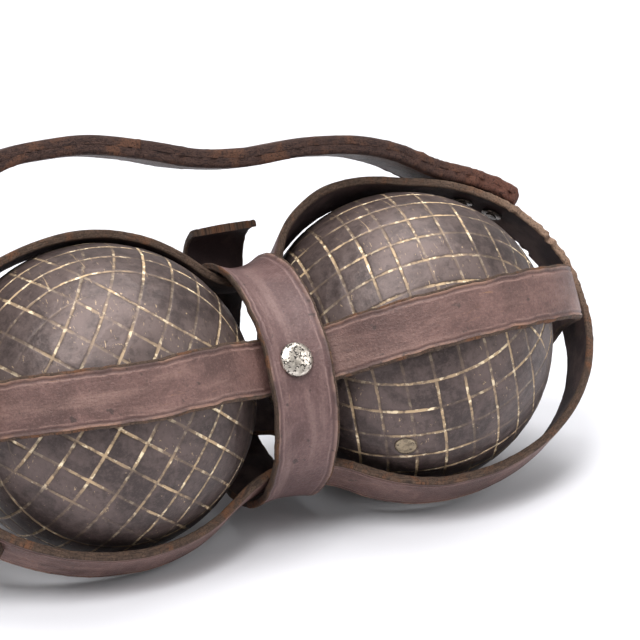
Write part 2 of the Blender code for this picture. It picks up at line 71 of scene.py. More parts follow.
STRAP_WIDTH = 0.0182
STRAP_THICK = 0.0027
GAP = 0.0003
ROUTE_STEP = 0.001  # from one row of a route to the next, about
ROUTE_SPREAD, WIDTH_SPREAD, HANDLE_SPREAD = 3, 8, 5  # smoothing, in rows
EDGE_SPREAD, TAIL_SPREAD = 4, 2.5  # smoothing, in stations
STATION_STEP = 0.8  # rows from one station of a strip to the next
LAST_ROW_MARGIN = 0.001  # keeps the last station inside an open route
TIP_ROUNDING, TIP_LEAST = 0.0085, 0.05
TIP_SHARES = np.linspace(0.01, 0.6, 14) ** 1.5  # of the rounding, where stations are added
LAP, LAP_RAMP = 19, 8  # rows
LAP_TIP_X = -0.094
STRAP_WAIST = 0.0320
FRONT_RADIUS, BACK_RADIUS = 0.0527, 0.0540
TOP_RADIUS, BOTTOM_RADIUS = 0.0519, 0.0540
HORIZONTAL_ENDS = (0.0580, 0.0600)
VERTICAL_ENDS = (0.0630, 0.0650)
HORIZONTAL_SHIFTS = (-0.004, -0.003)
FRONT_ANGLES = (23, 31, 29)
BACK_ANGLES = (232, 218, 232)
TOP_ANGLE = 115
TOP_ANGLES = (TOP_ANGLE, TOP_ANGLE, TOP_ANGLE)
BOTTOM_ANGLES = (312, 312, 315)
HORIZONTAL_LAP_PLACE = (0.034, 22)
VERTICAL_LAP_PLACE = (0.038, 312)

BAND_SHIFT = np.array([0, -0.002, -0.004])
BAND_LEFT, BAND_RIGHT = -0.0115, 0.0100
BAND_INNER = 0.0356
BAND_THICK = 0.0024
BAND_FLARE, BAND_FLARE_TOP, BAND_FLARE_ANGLE = 0.0026, 0.0010, 115
BAND_INNER_END, BAND_OUTER_END = 228, -205
BAND_LAP_RISE = (-108, -130)
BAND_STATIONS = 340
TAIL_LENGTH = 0.0289
TAIL_GAP = 0.0036
TAIL_HEADING = ((0.0, 110), (0.0034, 84), (0.0129, 90), (0.0289, 158))
TAIL_SIDE_DRIFT = 0.0015
TAIL_STATIONS = 60

HANDLE_WIDTH = 0.0185
HANDLE_PLY = 0.0027
PLY_GAP = 0.0006
HANDLE_ROUTE = (
    (0.060, 0.0625, 111),
    (0.045, 0.0672, 108),
    (0.026, 0.0694, 107),
    (0.005, 0.0683, 107),
    (-0.014, 0.0708, 107),
    (-0.029, 0.0760, 107),
    (-0.048, 0.0806, 107),
    (-0.072, 0.0803, 108),
    (-0.094, 0.0715, 110),
    (-0.111, 0.0550, 113),
)
HANDLE_RIGHT_TIP, HANDLE_RIGHT_LEAVES = (0.1030, 0.034), (0.0740, 0.049)  # x, distance from the axis
HANDLE_LEFT_LANDS, HANDLE_LEFT_TIP = 0.0270, -0.0090  # distances from the axis
HANDLE_LEFT_TIP_ANGLE = 132
HANDLE_SPLIT_X = -0.030
HANDLE_ROUGHNESS = 0.30
PLY_SEAM = 0.00004
RIGHT_BEND = (0.068, 0.026)  # x from where the handle is held to where it is free
LEFT_BEND = (-0.113, -0.084)

# Surface of the leather: border creases, crown, and the rough cut edges
CREASE_INSET = 0.0019
CREASE_WIDTH = 0.00038
CREASE_DEPTH = 0.00034
CROWN = 0.00016
STRAP_CORNERS = (0.32, 0.16)  # shares of the thickness, on the grain and flesh sides
HANDLE_CORNERS = (0.46, 0.02)
WAVE, WAVE_LENGTHS, GRAIN_WAVE = 0.00012, (0.010, 0.045), 0.6
FACE_SPREAD = math.radians(83)
FACE_POINTS, FLESH_POINTS = 35, 13
CORNER_ANGLES = (72, 54, 36, 18, 0)
FLESH_CORNER_IN, FLESH_CORNER_DOWN = 0.3, 0.7  # a flesh corner's middle point, in corner sizes
PATTERN_SHIFT = 0.37  # between the grain patterns of two seeds
SHARP_ANGLE = math.radians(55)
SHOULDER_X, SHOULDER_DISTANCE = 0.110, 0.026  # where the vertical strap is torn
TORN_REACH = 0.024
# The near edge of the vertical strap stands away from the right boule beside the waist
TILT_SIZE = 0.0060
TILT_ALONG_X = ((0.010, 0), (0.020, 1), (0.034, 1), (0.062, 0))
# Its far edge hugs both boules
HUG_SIZE = 0.0013
HUG_ALONG_X = ((0.010, 0), (0.018, 1), (0.070, 1), (0.086, 1.6), (0.098, 2.4), (0.110, 0))
SKIVE_LENGTH, SKIVE_LEAST = 6.0, 0.30  # millimetres from the tip, and share of the thickness
EDGE_WANDER, EDGE_WANDER_WAVES = 0.00012, (0.007, 0.030)
# On a smooth edge, and what a torn one adds
EDGE_RAGS, EDGE_RAG_WAVES = (0.00004, 0.00026), (0.0022, 0.0070)
EDGE_FUZZ, EDGE_FUZZ_WAVES = (0.00003, 0.00016), (0.0022, 0.0060)

# Boules: three families of circles round axes at right angles to each other
SCORE_SPACING = 10.85  # degrees
SCORE_REACH = 41.0
SCORE_DEPTH = 0.00020
SCORE_HALF_WIDTH = 0.00042
SCORE_WANDER = 0.45  # degrees
SCORE_WANDER_WAVES, SCORE_WEAR_WAVES = (0.7, 2.2), (0.25, 0.8)  # on a ball of unit radius
SCORE_CLEAR, SCORE_CLEAR_SPREAD, SCORE_CLEAR_LEAST = 0.5, 0.42, 0.12
SCORE_FADE = 3.0  # degrees over which the lines end
WORN_GROOVE = 0.45  # share of the depth left where a line is worn away
DENT_DEPTH, DENT_WAVES, DENT_COUNT = 0.00006, (0.08, 0.35), 24
BALL_SEGMENTS, BALL_RINGS = 640, 320
SCORING = {
    "left_boule": ((-17.3, 35.1, -13.5), (0.1, -3.6, -1.4)),
    "right_boule": ((22.8, -10.3, -9.9), (0.8, 1.4, 2.7)),
}
PLUG_RADIUS = 0.0036
PLUG_DISH = 0.00045
PLUG_HEIGHT = 0.0016
PLUG_CLEARANCE, DISH_SLOPE = 0.0006, 0.0005
PLUG_SINK, PLUG_BEVEL = 0.00008, 0.0003

TURNED_STEPS = 56
RIVET_ROUNDING = 0.0002
RIVET_DENT, RIVET_DENT_WAVES = 0.00009, (0.0009, 0.0030)
DOME_ANGLES = np.linspace(90, 6, 14)
HEAD_SHARE, RIM_SHARE = 0.6, 0.98  # of the reach and radius, past which a point is on the head, the rim
SHANK_PERCENTILE = 80


# --- Nodes ----------------------------------------------------------------------------------------


class Look:
    """A material whose nodes are added and wired by short calls."""

    def __init__(self, name, **constants):
        self.material = bpy.data.materials.new(name)
        self.material.use_nodes = True
        self.tree = self.material.node_tree
        self.shader = self.tree.nodes["Principled BSDF"]
        for socket, value in constants.items():
            self.shader.inputs[socket.replace("_", " ")].default_value = value

    def add(self, kind, **settings):
        node = self.tree.nodes.new("ShaderNode" + kind)
        for name, value in settings.items():
            setattr(node, name, value)
        return node

    def wire(self, socket, value):
        if isinstance(value, bpy.types.NodeSocket):
            self.tree.links.new(value, socket)
        elif isinstance(value, tuple) and socket.type == "RGBA":
            socket.default_value = (*value, 1.0)
        else:
            socket.default_value = value

    def math(self, operation, *values):
        node = self.add("Math", operation=operation)
        for socket, value in zip(node.inputs, values):
            self.wire(socket, value)
        return node.outputs[0]

    def stretch(self, vector, scale):
        node = self.add("VectorMath", operation="MULTIPLY")
        self.wire(node.inputs[0], vector)
        node.inputs[1].default_value = scale
        return node.outputs[0]

    def split(self, vector):
        node = self.add("SeparateXYZ")
        self.wire(node.inputs[0], vector)
        return node.outputs

    def attribute(self, name):
        return self.add("Attribute", attribute_name=name).outputs["Vector"]

    def noise(self, vector, scale, detail=4.0, roughness=0.55, distortion=0.0):
        node = self.add("TexNoise")
        self.wire(node.inputs["Vector"], vector)
        node.inputs["Scale"].default_value = scale
        node.inputs["Detail"].default_value = detail
        node.inputs["Roughness"].default_value = roughness
        node.inputs["Distortion"].default_value = distortion
        return node.outputs["Fac"]

    def cells(self, vector, scale, feature="F1"):
        node = self.add("TexVoronoi", feature=feature)
        self.wire(node.inputs["Vector"], vector)
        node.inputs["Scale"].default_value = scale
        return node.outputs["Distance"]

    def ease(self, value, low, high, first=0.0, last=1.0):
        """first below low, last above high, and a smooth step between them."""
        node = self.add("MapRange", interpolation_type="SMOOTHSTEP")
        for socket, setting in zip(node.inputs, (value, low, high, first, last)):
            self.wire(socket, setting)
        return node.outputs[0]

    def mix(self, amount, first, second):
        node = self.add("Mix", data_type="RGBA")
        self.wire(node.inputs["Factor"], amount)
        self.wire(node.inputs[6], first)
        self.wire(node.inputs[7], second)
        return node.outputs[2]

    def finish(self, colour, roughness, height, distance, metallic=None):
        self.wire(self.shader.inputs["Base Color"], colour)
        self.wire(self.shader.inputs["Roughness"], roughness)
        if metallic is not None:
            self.wire(self.shader.inputs["Metallic"], metallic)
        bump = self.add("Bump")
        bump.inputs["Strength"].default_value = 1.0
        bump.inputs["Distance"].default_value = distance
        self.wire(bump.inputs["Height"], height)
        self.wire(self.shader.inputs["Normal"], bump.outputs["Normal"])
        return self.material


def grain_leather(name, dark, middle, light, border, shine=0.36):
    """The smooth outer side: mottled, creased beside both borders with painted shade in each crease and a
    painted highlight on the ridges beside it, scuffed and stained.

    The attribute lie holds the length along the strap, the distance to its nearer edge and
    the place across it, in metres, and flat lays the surface out without seams.
    """
    look = Look(name, Specular_IOR_Level=shine)
    _, edge, _ = look.split(look.attribute("lie"))
    flat = look.attribute("flat")
    blotch = look.noise(flat, 62.0, 5.0, 0.62, 0.6)
    cloud = look.noise(flat, 190.0, 5.0, 0.66, 0.8)
    stain = look.noise(look.stretch(flat, (24.0, 150.0, 1.0)), 1.0, 4.0, 0.6)
    fine = look.noise(flat, 1100.0, 4.0, 0.7)
    pores = look.cells(flat, 1250.0)
    colour = look.mix(look.ease(blotch, 0.34, 0.66), dark, middle)
    colour = look.mix(look.ease(cloud, 0.42, 0.66, 0.0, 0.5), colour, dark)
    colour = look.mix(look.ease(stain, 0.48, 0.72, 0.0, 0.55), colour, light)
    colour = look.mix(look.ease(fine, 0.50, 0.70, 0.0, 0.32), colour, light)
    colour = look.mix(look.ease(fine, 0.50, 0.34, 0.0, 0.40), colour, dark)
    scuff = look.noise(look.stretch(flat, (90.0, 620.0, 1.0)), 1.0, 6.0, 0.75, 1.4)
    worn = look.math("MULTIPLY", look.ease(scuff, 0.60, 0.70), look.ease(blotch, 0.46, 0.60))
    colour = look.mix(look.math("MULTIPLY", worn, 0.7), colour, border)
    beside = look.math("ABSOLUTE", look.math("SUBTRACT", edge, CREASE_INSET))
    # Painted highlight: a pale line on the ridges either side of each crease
    painted_ridge_highlight = look.math("ABSOLUTE", look.math("SUBTRACT", beside, 0.00085))
    painted_ridge_highlight = look.math("MULTIPLY", look.ease(painted_ridge_highlight, 0.0, 0.00045, 1.0, 0.0), look.ease(cloud, 0.35, 0.6))
    colour = look.mix(look.math("MULTIPLY", painted_ridge_highlight, 0.65), colour, light)
    # Painted shade: the middle of each crease is darkened
    groove = look.ease(beside, 0.0, 0.00055, 1.0, 0.0)
    colour = look.mix(look.math("MULTIPLY", groove, 0.75), colour, dark)
    rim_colour = look.mix(look.ease(blotch, 0.44, 0.56), STAIN, border)
    rim = look.ease(edge, 0.0005, 0.0021, 0.75, 0.0)
    colour = look.mix(look.math("MULTIPLY", rim, look.ease(cloud, 0.3, 0.6, 0.45, 1.0)), colour, rim_colour)
    spots = look.ease(look.noise(flat, 260.0, 2.0), 0.66, 0.72)
    colour = look.mix(look.math("MULTIPLY", spots, 0.7), colour, STAIN)
    roughness = look.ease(look.math("ADD", cloud, worn), 0.3, 1.1, 0.44, 0.70)
    height = look.math("MULTIPLY", look.ease(pores, 0.0, 0.6), 0.35)
    height = look.math("ADD", height, fine)
    height = look.math("ADD", height, look.math("MULTIPLY", scuff, 0.8))
    return look.finish(colour, roughness, height, 0.00022)


def cut_leather(name, dark, light, rust, torn_colour):
    """A rough cut edge with fibres along it; the attribute torn says where it is torn."""
    look = Look(name, Specular_IOR_Level=0.25)
    flat = look.attribute("flat")
    torn, _, _ = look.split(look.attribute("torn"))
    fibre = look.noise(look.stretch(flat, (340.0, 2300.0, 1.0)), 1.0, 5.0, 0.7, 0.8)
    patch = look.noise(flat, 75.0, 4.0, 0.65, 0.8)
    crumbs = look.noise(flat, 1500.0, 4.0, 0.75)
    colour = look.mix(look.ease(fibre, 0.32, 0.66), dark, light)
    colour = look.mix(look.ease(patch, 0.50, 0.64, 0.0, 0.75), colour, rust)
    colour = look.mix(look.math("MULTIPLY", torn, look.ease(patch, 0.3, 0.5, 0.6, 1.0)), colour, torn_colour)
    colour = look.mix(look.ease(crumbs, 0.52, 0.60, 0.0, 0.9), colour, dark)
    height = look.math("ADD", look.math("MULTIPLY", fibre, 1.2), look.math("MULTIPLY", crumbs, 1.6))
    return look.finish(colour, look.ease(fibre, 0.3, 0.7, 0.66, 0.88), height, 0.00050)


def flesh_leather(name, dark, light):
    """The suede-like inner side."""
    look = Look(name, Specular_IOR_Level=0.2)
    flat = look.attribute("flat")
    nap = look.noise(flat, 1300.0, 4.0, 0.7)
    patch = look.noise(flat, 70.0, 4.0, 0.6)
    colour = look.mix(look.ease(patch, 0.4, 0.7), dark, light)
    colour = look.mix(look.ease(nap, 0.55, 0.75, 0.0, 0.4), colour, light)
    return look.finish(colour, look.ease(nap, 0.3, 0.7, 0.78, 0.92), nap, 0.00030)


def patinated_metal(name, base, pale, line, painted_glint):
    """Dark patina over metal, scored by three families of lines in which pale dust lies, with painted glints
    on some stretches of them.

    The attribute score counts the lines of each family, so a line runs at every whole number,
    and score_wear says how clear each family's nearest line is.
    """
    look = Look(name, Specular_IOR_Level=0.5)
    place = look.add("TexCoord").outputs["Object"]
    cloud = look.noise(place, 42.0, 6.0, 0.66, 0.6)
    grit = look.noise(place, 340.0, 5.0, 0.7)
    fine = look.noise(place, 1300.0, 4.0, 0.7)
    dash = look.noise(place, 300.0, 4.0, 0.65)
    colour = look.mix(look.ease(cloud, 0.36, 0.64), base, pale)
    colour = look.mix(look.ease(grit, 0.44, 0.66, 0.0, 0.6), colour, pale)
    colour = look.mix(look.ease(grit, 0.48, 0.34, 0.0, 0.6), colour, base)
    colour = look.mix(look.ease(fine, 0.50, 0.68, 0.0, 0.4), colour, pale)
    score, wear = look.split(look.attribute("score")), look.split(look.attribute("score_wear"))
    jitter = look.math("MULTIPLY", look.math("SUBTRACT", dash, 0.5), 0.06)
    clear, near = 0.0, 0.0
    for family in range(3):
        away = look.math("SUBTRACT", look.math("PINGPONG", score[family], 0.5), jitter)
        found = look.math("MULTIPLY", look.ease(away, 0.030, 0.062, 1.0, 0.0), wear[family])
        halo = look.math("MULTIPLY", look.ease(away, 0.04, 0.16, 1.0, 0.0), wear[family])
        clear = look.math("MAXIMUM", clear, found)
        near = look.math("MAXIMUM", near, halo)
    broken = look.math("MULTIPLY", clear, look.ease(dash, 0.38, 0.54, 0.30, 1.0))
    colour = look.mix(look.math("MULTIPLY", near, 0.35), colour, base)
    colour = look.mix(look.math("MULTIPLY", broken, 0.95), colour, line)
    # Painted highlight: near-white glints on some stretches of the pale lines
    bright = look.math("MULTIPLY", broken, look.ease(look.noise(place, 420.0, 2.0), 0.54, 0.62))
    colour = look.mix(look.math("MULTIPLY", bright, 0.9), colour, painted_glint)
    scratch = look.noise(look.stretch(place, (1500.0, 90.0, 700.0)), 1.0, 3.0, 0.5, 1.0)
    scratch = look.math("MULTIPLY", look.ease(scratch, 0.66, 0.70), look.ease(cloud, 0.46, 0.56))
    colour = look.mix(look.math("MULTIPLY", scratch, 0.6), colour, line)
    speck = look.ease(look.cells(place, 300.0), 0.03, 0.11, 1.0, 0.0)
    speck = look.math("MULTIPLY", speck, look.ease(grit, 0.50, 0.60))
    colour = look.mix(look.math("MULTIPLY", speck, 0.8), colour, line)
    roughness = look.ease(look.math("ADD", cloud, broken), 0.3, 1.2, 0.42, 0.62)
    height = look.math("ADD", look.math("MULTIPLY", grit, 0.8), look.math("MULTIPLY", fine, 0.5))
    height = look.math("SUBTRACT", height, look.math("MULTIPLY", clear, 0.9))
    return look.finish(colour, roughness, height, 0.00018, look.ease(broken, 0.0, 1.0, 0.42, 0.15))


def pitted_metal(name, bright, dull, pit, amount=0.54):
    """Clouded metal with dark corroded pits where the noise is above the given amount."""
    look = Look(name, Specular_IOR_Level=0.5)
    place = look.add("TexCoord").outputs["Object"]
    cloud = look.noise(place, 420.0, 4.0, 0.6)
    pits = look.noise(place, 1000.0, 3.0, 0.6, 0.3)
    rotten = look.ease(pits, amount, amount + 0.05)
    colour = look.mix(look.ease(cloud, 0.4, 0.65), bright, dull)
    colour = look.mix(rotten, colour, pit)
    roughness = look.ease(look.math("ADD", cloud, rotten), 0.3, 1.4, 0.30, 0.75)
    height = look.math("SUBTRACT", look.math("MULTIPLY", cloud, 0.5), rotten)
    return look.finish(colour, roughness, height, 0.00022, look.ease(rotten, 0.0, 1.0, 1.0, 0.2))


STAIN = (0.034, 0.022, 0.020)
RUST = (0.19, 0.080, 0.038)
EDGE_LOOK = cut_leather("cut_edge", (0.040, 0.025, 0.019), (0.135, 0.086, 0.060), RUST, (0.33, 0.215, 0.150))
FLESH_LOOK = flesh_leather("flesh_side", (0.034, 0.022, 0.023), (0.092, 0.060, 0.055))
CAGE_LOOK = grain_leather(
    "cage_leather", (0.074, 0.038, 0.033), (0.152, 0.083, 0.072), (0.265, 0.160, 0.134), (0.27, 0.145, 0.085)
)
BAND_LOOK = grain_leather(
    "band_leather", (0.082, 0.043, 0.041), (0.142, 0.081, 0.076), (0.245, 0.157, 0.142), (0.27, 0.165, 0.12)
)
HANDLE_LOOK = grain_leather(
    "handle_leather",
    (0.030, 0.016, 0.013),
    (0.072, 0.038, 0.030),
    (0.130, 0.075, 0.055),
    (0.17, 0.088, 0.055),
    shine=0.12,
)
HANDLE_EDGE_LOOK = cut_leather(
    "handle_edge", (0.020, 0.010, 0.009), (0.088, 0.048, 0.037), (0.135, 0.060, 0.034), (0.140, 0.056, 0.038)
)
CAGE_LOOKS = (CAGE_LOOK, EDGE_LOOK, FLESH_LOOK)
BAND_LOOKS = (BAND_LOOK, EDGE_LOOK, FLESH_LOOK)
HANDLE_LOOKS = (HANDLE_LOOK, HANDLE_EDGE_LOOK, HANDLE_LOOK)
BALL_LOOK = patinated_metal(
    "patinated_metal", (0.042, 0.029, 0.027), (0.116, 0.083, 0.076), (0.52, 0.37, 0.22), (1.0, 0.84, 0.58)
)
RIVET_LOOK = pitted_metal("pitted_nickel", (0.66, 0.60, 0.53), (0.40, 0.36, 0.31), (0.025, 0.02, 0.016))
TARNISHED_LOOK = pitted_metal("tarnished", (0.12, 0.095, 0.078), (0.060, 0.048, 0.04), (0.02, 0.015, 0.012))
PLUG_LOOK = pitted_metal("plug_metal", (0.36, 0.29, 0.20), (0.20, 0.16, 0.115), (0.05, 0.04, 0.03), 0.60)


# --- Routes, as in the CAD ------------------------------------------------------------------------


def outward(angle):
    """Unit vectors away from the X axis at angles in degrees."""
    turn = np.radians(np.asarray(angle, float))
    return np.stack([0 * turn, -np.cos(turn), np.sin(turn)], -1)


def resample(points, step, closed):
    """Rows spaced evenly along the first three columns."""
    rows = np.vstack([points, points[:1]]) if closed else points
    length = np.r_[0, np.cumsum(np.linalg.norm(np.diff(rows[:, :3], axis=0), axis=1))]
    count = int(round(length[-1] / step))
    at = np.linspace(0, length[-1], count + 1)
    at = at[:-1] if closed else at
    return np.stack([np.interp(at, length, rows[:, k]) for k in range(rows.shape[1])], -1)


def smooth(rows, spread, closed):
    """A Gaussian average over neighbouring rows."""
    reach = int(3 * spread) + 1
    near = np.arange(-reach, reach + 1)
    weight = np.exp(-0.5 * (near / spread) ** 2)
    weight /= weight.sum()
    index = np.arange(len(rows))[:, None] + near
    index = index % len(rows) if closed else np.clip(index, 0, len(rows) - 1)
    return (rows[index] * weight[None, :, None]).sum(1)


def unit(rows):
    return rows / np.linalg.norm(rows, axis=1)[:, None]


def eased(share):
    """A smooth step from 0 to 1 as the share goes from 0 to 1."""
    return share**2 * (3 - 2 * share)


def tornness(points, place):
    """How torn an edge is: 1 at the place, and 0 far from it."""
    return np.exp(-((np.linalg.norm(points - place, axis=1) / TORN_REACH) ** 2))


def side_profile(ends, radius, waist):
    """(x, rho) of a strap along one side: round each boule, with a hollow fillet at the waist."""
    half = HALF_SPACING
    fillet = (radius**2 - half**2 - waist**2) / (2 * (waist - radius))
    share = fillet / (radius + fillet)
    touch = (half * share, (waist + fillet) * (1 - share))
    top = math.atan2(touch[1], half - touch[0])
    low = math.atan2(touch[1] - waist - fillet, -touch[0])
    outer = np.linspace(math.pi, math.pi / 2, 40)
    inner = np.linspace(math.pi / 2, top, 25)[1:]
    dip = np.linspace(low, -math.pi - low, 25)[1:-1]
    quarter = np.stack([np.cos(outer), np.sin(outer)], -1)
    left_outer = quarter * (ends[0], radius) + (-half, 0)
    right_outer = (quarter * (-ends[1], radius) + (half, 0))[::-1]
    left_inner = np.stack([-half + radius * np.cos(inner), radius * np.sin(inner)], -1)
    right_inner = left_inner[::-1] * (-1, 1)
    middle = np.stack([fillet * np.cos(dip), waist + fillet + fillet * np.sin(dip)], -1)
    return np.vstack([left_outer, left_inner, middle, right_inner, right_outer])


def strap_side(ends, radius, angles, poles, direction):
    """Points and width directions of one side of a loop, from the left pole to the right one."""
    at_waist = outward(angles[1])
    across = np.cross([direction, 0, 0], at_waist)
    profile = side_profile(ends, radius, STRAP_WAIST + BAND_SHIFT @ at_waist)
    half = HALF_SPACING
    stations = (-half - ends[0], -half, 0, half, half + ends[1])
    angle = np.interp(profile[:, 0], stations, [angles[k] for k in (0, 0, 1, 2, 2)])
    shift = np.interp(profile[:, 0], stations, [poles[0], 0, BAND_SHIFT @ across, 0, poles[1]])
    away = outward(angle)
    across = np.cross([direction, 0, 0], away)
    points = AXIS + profile[:, 1:] * away + shift[:, None] * across
    points[:, 0] = AXIS[0] + profile[:, 0]
    return np.hstack([points, across])


class Route:
    """A strap's middle line, with its width direction and outward normal at every millimetre."""

    def __init__(self, points, across, closed):
        ahead = np.roll(points, -1, 0) - np.roll(points, 1, 0)
        if not closed:
            ahead[0], ahead[-1] = points[1] - points[0], points[-1] - points[-2]
        self.points = points
        self.ahead = unit(ahead)
        across = across - (across * self.ahead).sum(1)[:, None] * self.ahead
        self.across = unit(across)
        self.normal = np.cross(self.across, self.ahead)

    def nearest(self, place):
        return int(np.argmin(np.linalg.norm(self.points - np.asarray(place), axis=1)))

    def rows(self, index):
        """Points, width directions and normals at fractional indices, wrapping round."""
        low = np.floor(index).astype(int)
        part = (index - low)[:, None]
        near, far = low % len(self.points), (low + 1) % len(self.points)
        mixed = [
            table[near] * (1 - part) + table[far] * part
            for table in (self.points, self.across, self.normal)
        ]
        return mixed[0], unit(mixed[1]), unit(mixed[2])


def loop_route(one_side, other_side):
    rows = resample(np.vstack([one_side, other_side[::-1][1:-1]]), ROUTE_STEP, True)
    return Route(smooth(rows[:, :3], ROUTE_SPREAD, True), smooth(rows[:, 3:], WIDTH_SPREAD, True), True)


HORIZONTAL = loop_route(
    strap_side(HORIZONTAL_ENDS, FRONT_RADIUS, FRONT_ANGLES, HORIZONTAL_SHIFTS, 1),
    strap_side(HORIZONTAL_ENDS, BACK_RADIUS, BACK_ANGLES, HORIZONTAL_SHIFTS, -1),
)
VERTICAL = loop_route(
    strap_side(VERTICAL_ENDS, TOP_RADIUS, TOP_ANGLES, (0, 0), 1),
    strap_side(VERTICAL_ENDS, BOTTOM_RADIUS, BOTTOM_ANGLES, (0, 0), -1),
)


def route_index(route, x, distance, angle):
    return route.nearest(AXIS + (x, 0, 0) + distance * outward(angle))


# --- Leather strips -------------------------------------------------------------------------------


def ripple(seed, places, wavelengths, count=14):
    """A smooth repeatable noise of about unit size over rows of places in metres."""
    draw = np.random.default_rng(seed)
    total = np.zeros(len(places))
    for _ in range(count):
        way = draw.normal(size=places.shape[1])
        way /= np.linalg.norm(way)
        wave = draw.uniform(*wavelengths)
        total += np.sin(places @ way * (2 * math.pi / wave) + draw.uniform(0, 2 * math.pi))
    return total / math.sqrt(count / 2)


def section_shape(corner, flesh_corner):
    """Ring of (share across, corners outwards, share through, kind of surface).

    The kinds are 0 for the grain side, 1 for a cut edge and 2 for the flesh side.
    """
    face = np.sin(np.linspace(-1, 1, FACE_POINTS) * FACE_SPREAD) / math.sin(FACE_SPREAD)
    ring = [(f, 0.0, 1.0, 0) for f in face]
    for a in np.radians(CORNER_ANGLES):
        ring.append((1.0, math.cos(a), 1 - 2 * corner * (1 - math.sin(a)), 1))
    top, low = 1 - 2 * corner, 2 * flesh_corner - 1
    ring += [(1.0, 1.0, t, 1) for t in np.linspace(top, low, 5)[1:]]
    part = flesh_corner / corner
    ring.append((1.0, 1 - FLESH_CORNER_IN * part, low - 2 * FLESH_CORNER_DOWN * flesh_corner, 1))
    ring.append((1.0, 1 - part, -1.0, 1))
    flesh = [(f, 0.0, -1.0, 2) for f in np.linspace(1, -1, FLESH_POINTS)]
    mirrored = [(-f, -c, t, k) for f, c, t, k in reversed(ring[FACE_POINTS:])]
    return np.array(ring + flesh + mirrored)


def tip_widths(at, tip, width):
    """Strap widths that round off the end at the tip; at and tip are lengths in metres."""
    inside = np.clip(1 - np.abs(at - tip) / TIP_ROUNDING, 0, 1)
    return width * np.sqrt(np.clip(1 - inside**2, TIP_LEAST, 1))


def strip(
    name,
    rows,
    widths,
    thick,
    looks,
    seed,
    flare=0.0,
    tilt=0.0,
    hug=0.0,
    base=0.0,
    torn=0.0,
    corners=STRAP_CORNERS,
    edge_seeds=(0, 1),
):
    """A leather strap along rows of points, width directions and normals.

    At each station, flare is how far both edges stand out from the middle, tilt is how far the
    edge on the width direction's side stands out, hug is how far the other edge bends in, and
    torn says how torn the edges are, from 0 to 1. base is their roughness elsewhere.
    """
    points, across, normal = rows
    count = len(points)
    along = np.r_[0, np.cumsum(np.linalg.norm(np.diff(points, axis=0), axis=1))]
    shape = section_shape(*corners)
    size = len(shape)
    thick, flare, tilt, hug, torn = (
        np.broadcast_to(value, count)[:, None] for value in (thick, flare, tilt, hug, torn)
    )
    corner = corners[0] * thick
    ragged = (base + (1 - base) * torn)[:, 0]
    wander = [
        EDGE_WANDER * ripple(seed + side, along[:, None], EDGE_WANDER_WAVES)
        + (EDGE_RAGS[0] + EDGE_RAGS[1] * ragged) * ripple(seed + 7 + side, along[:, None], EDGE_RAG_WAVES)
        for side in edge_seeds
    ]
    half = np.broadcast_to(widths, count) / 2
    sides = shape[None, :, 0] > 0
    half_here = half[:, None] + np.where(sides, wander[0][:, None], wander[1][:, None])
    u = shape[None, :, 0] * (half_here - corner) + shape[None, :, 1] * corner
    edge = np.clip(half_here - np.abs(u), 0, None)
    through = shape[None, :, 2] * thick / 2
    grain = shape[:, 3] == 0
    crease = CREASE_DEPTH * np.exp(-(((edge - CREASE_INSET) / CREASE_WIDTH) ** 2))
    crown = CROWN * (1 - (u / half_here) ** 2)
    flat = np.stack([np.broadcast_to(along[:, None], u.shape), u], -1)
    places = flat.reshape(-1, 2)
    wave = (WAVE * ripple(seed + 3, places, WAVE_LENGTHS)).reshape(u.shape)
    fuzz = ripple(seed + 5, places, EDGE_FUZZ_WAVES).reshape(u.shape)
    fuzz = fuzz * (EDGE_FUZZ[0] + EDGE_FUZZ[1] * ragged[:, None])
    through += np.where(grain[None, :], crown - crease + wave * GRAIN_WAVE, 0)
    through += np.where(shape[None, :, 3] == 1, fuzz, 0)
    share = u / half_here
    bend = flare * share**2 + tilt * (share + 1) / 2 - hug * ((1 - share) / 2) ** 3
    sideways = u[..., None] * across[:, None, :]
    outwards = (through + bend)[..., None] * normal[:, None, :]
    vertices = (points[:, None, :] + sideways + outwards).reshape(-1, 3)
    first = (np.arange(count - 1)[:, None] * size + np.arange(size)[None, :]).ravel()
    following = (np.arange(count - 1)[:, None] * size + (np.arange(size) + 1) % size).ravel()
    quads = np.stack([first, first + size, following + size, following], -1)
    ends = [list(range(size)), list(range((count - 1) * size, count * size))[::-1]]
    mesh = bpy.data.meshes.new(name)
    mesh.from_pydata(vertices.tolist(), [], quads.tolist() + ends)
    kinds = np.maximum(shape[:, 3], np.roll(shape[:, 3], -1))
    kinds = np.where((shape[:, 3] == 1) | (np.roll(shape[:, 3], -1) == 1), 1, kinds).astype(int)
    slots = np.r_[np.tile(kinds, count - 1), [1, 1]]
    for look in looks:
        mesh.materials.append(look)
    mesh.polygons.foreach_set("material_index", slots.astype(np.int32))
    shift = np.where(shape[None, :, 3] == 1, through, 0.0)
    lie = np.stack([flat[..., 0], edge, u], -1)
    laid = np.stack([flat[..., 0], u + shift + seed * PATTERN_SHIFT, 0 * u], -1)
    store(mesh, "lie", lie.reshape(-1, 3))
    store(mesh, "flat", laid.reshape(-1, 3))
    store(mesh, "torn", (torn[..., None] * np.ones((1, size, 3))).reshape(-1, 3))
    return add_piece(name, mesh)


def store(mesh, name, values):
    """Keeps a vector for every vertex."""
    kept = mesh.attributes.new(name, "FLOAT_VECTOR", "POINT")
    kept.data.foreach_set("vector", np.asarray(values, np.float32).ravel())


def add_piece(name, mesh, place=None):
    mesh.update()
    mesh.shade_smooth()
    mesh.set_sharp_from_angle(angle=SHARP_ANGLE)
    piece = bpy.data.objects.new(name, mesh)
    SCENE.collection.objects.link(piece)
    if place is not None:
        piece.location = Vector(place)
    return piece


def stations(first, last):
    return np.linspace(first, last, max(3, int(abs(last - first) / STATION_STEP) + 1))


